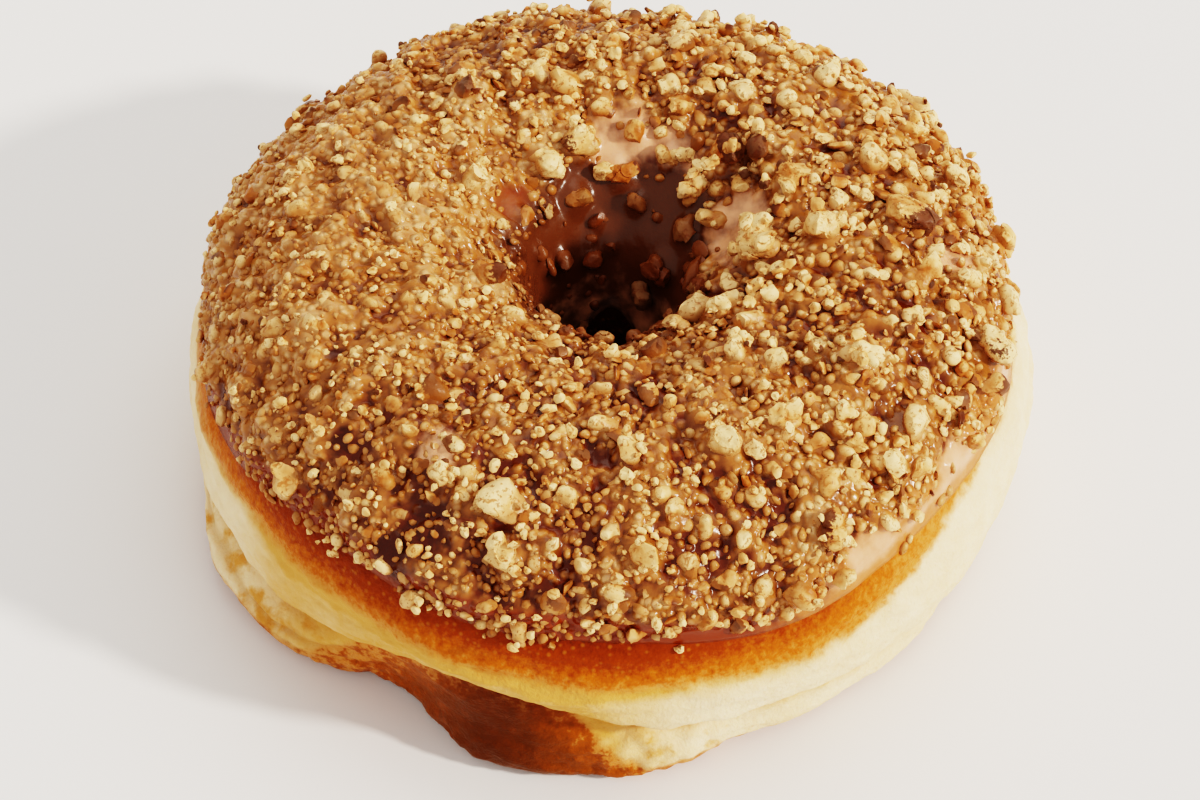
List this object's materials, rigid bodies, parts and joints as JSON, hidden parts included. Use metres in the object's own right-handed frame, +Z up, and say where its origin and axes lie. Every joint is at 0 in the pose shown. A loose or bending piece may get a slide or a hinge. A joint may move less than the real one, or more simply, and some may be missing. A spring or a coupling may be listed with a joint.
{
  "type": "nut-topped ring doughnut",
  "caption": "Yeast-raised ring doughnut with a pale band round its side, a browned lip under it, and a poured glaze full of chopped nuts over the top and into the hole.",
  "frame": {"origin": "middle of the ring on the surface that it rests on", "axes": "+Z up through the hole, -Y towards the front, where the browned underside stands out as a lip, +X to the right"},
  "size_m": [0.0997, 0.0982, 0.0411],
  "materials": {
    "fried_dough": "soft matt fried crust, golden brown above and below a pale cream band",
    "nutty_glaze": "glossy caramel-brown sugar glaze set round pale and toasted chopped nuts"
  },
  "bodies": {
    "root": {"dough_ring": "fried_dough", "nut_glaze": "nutty_glaze"}
  },
  "joints": []
}
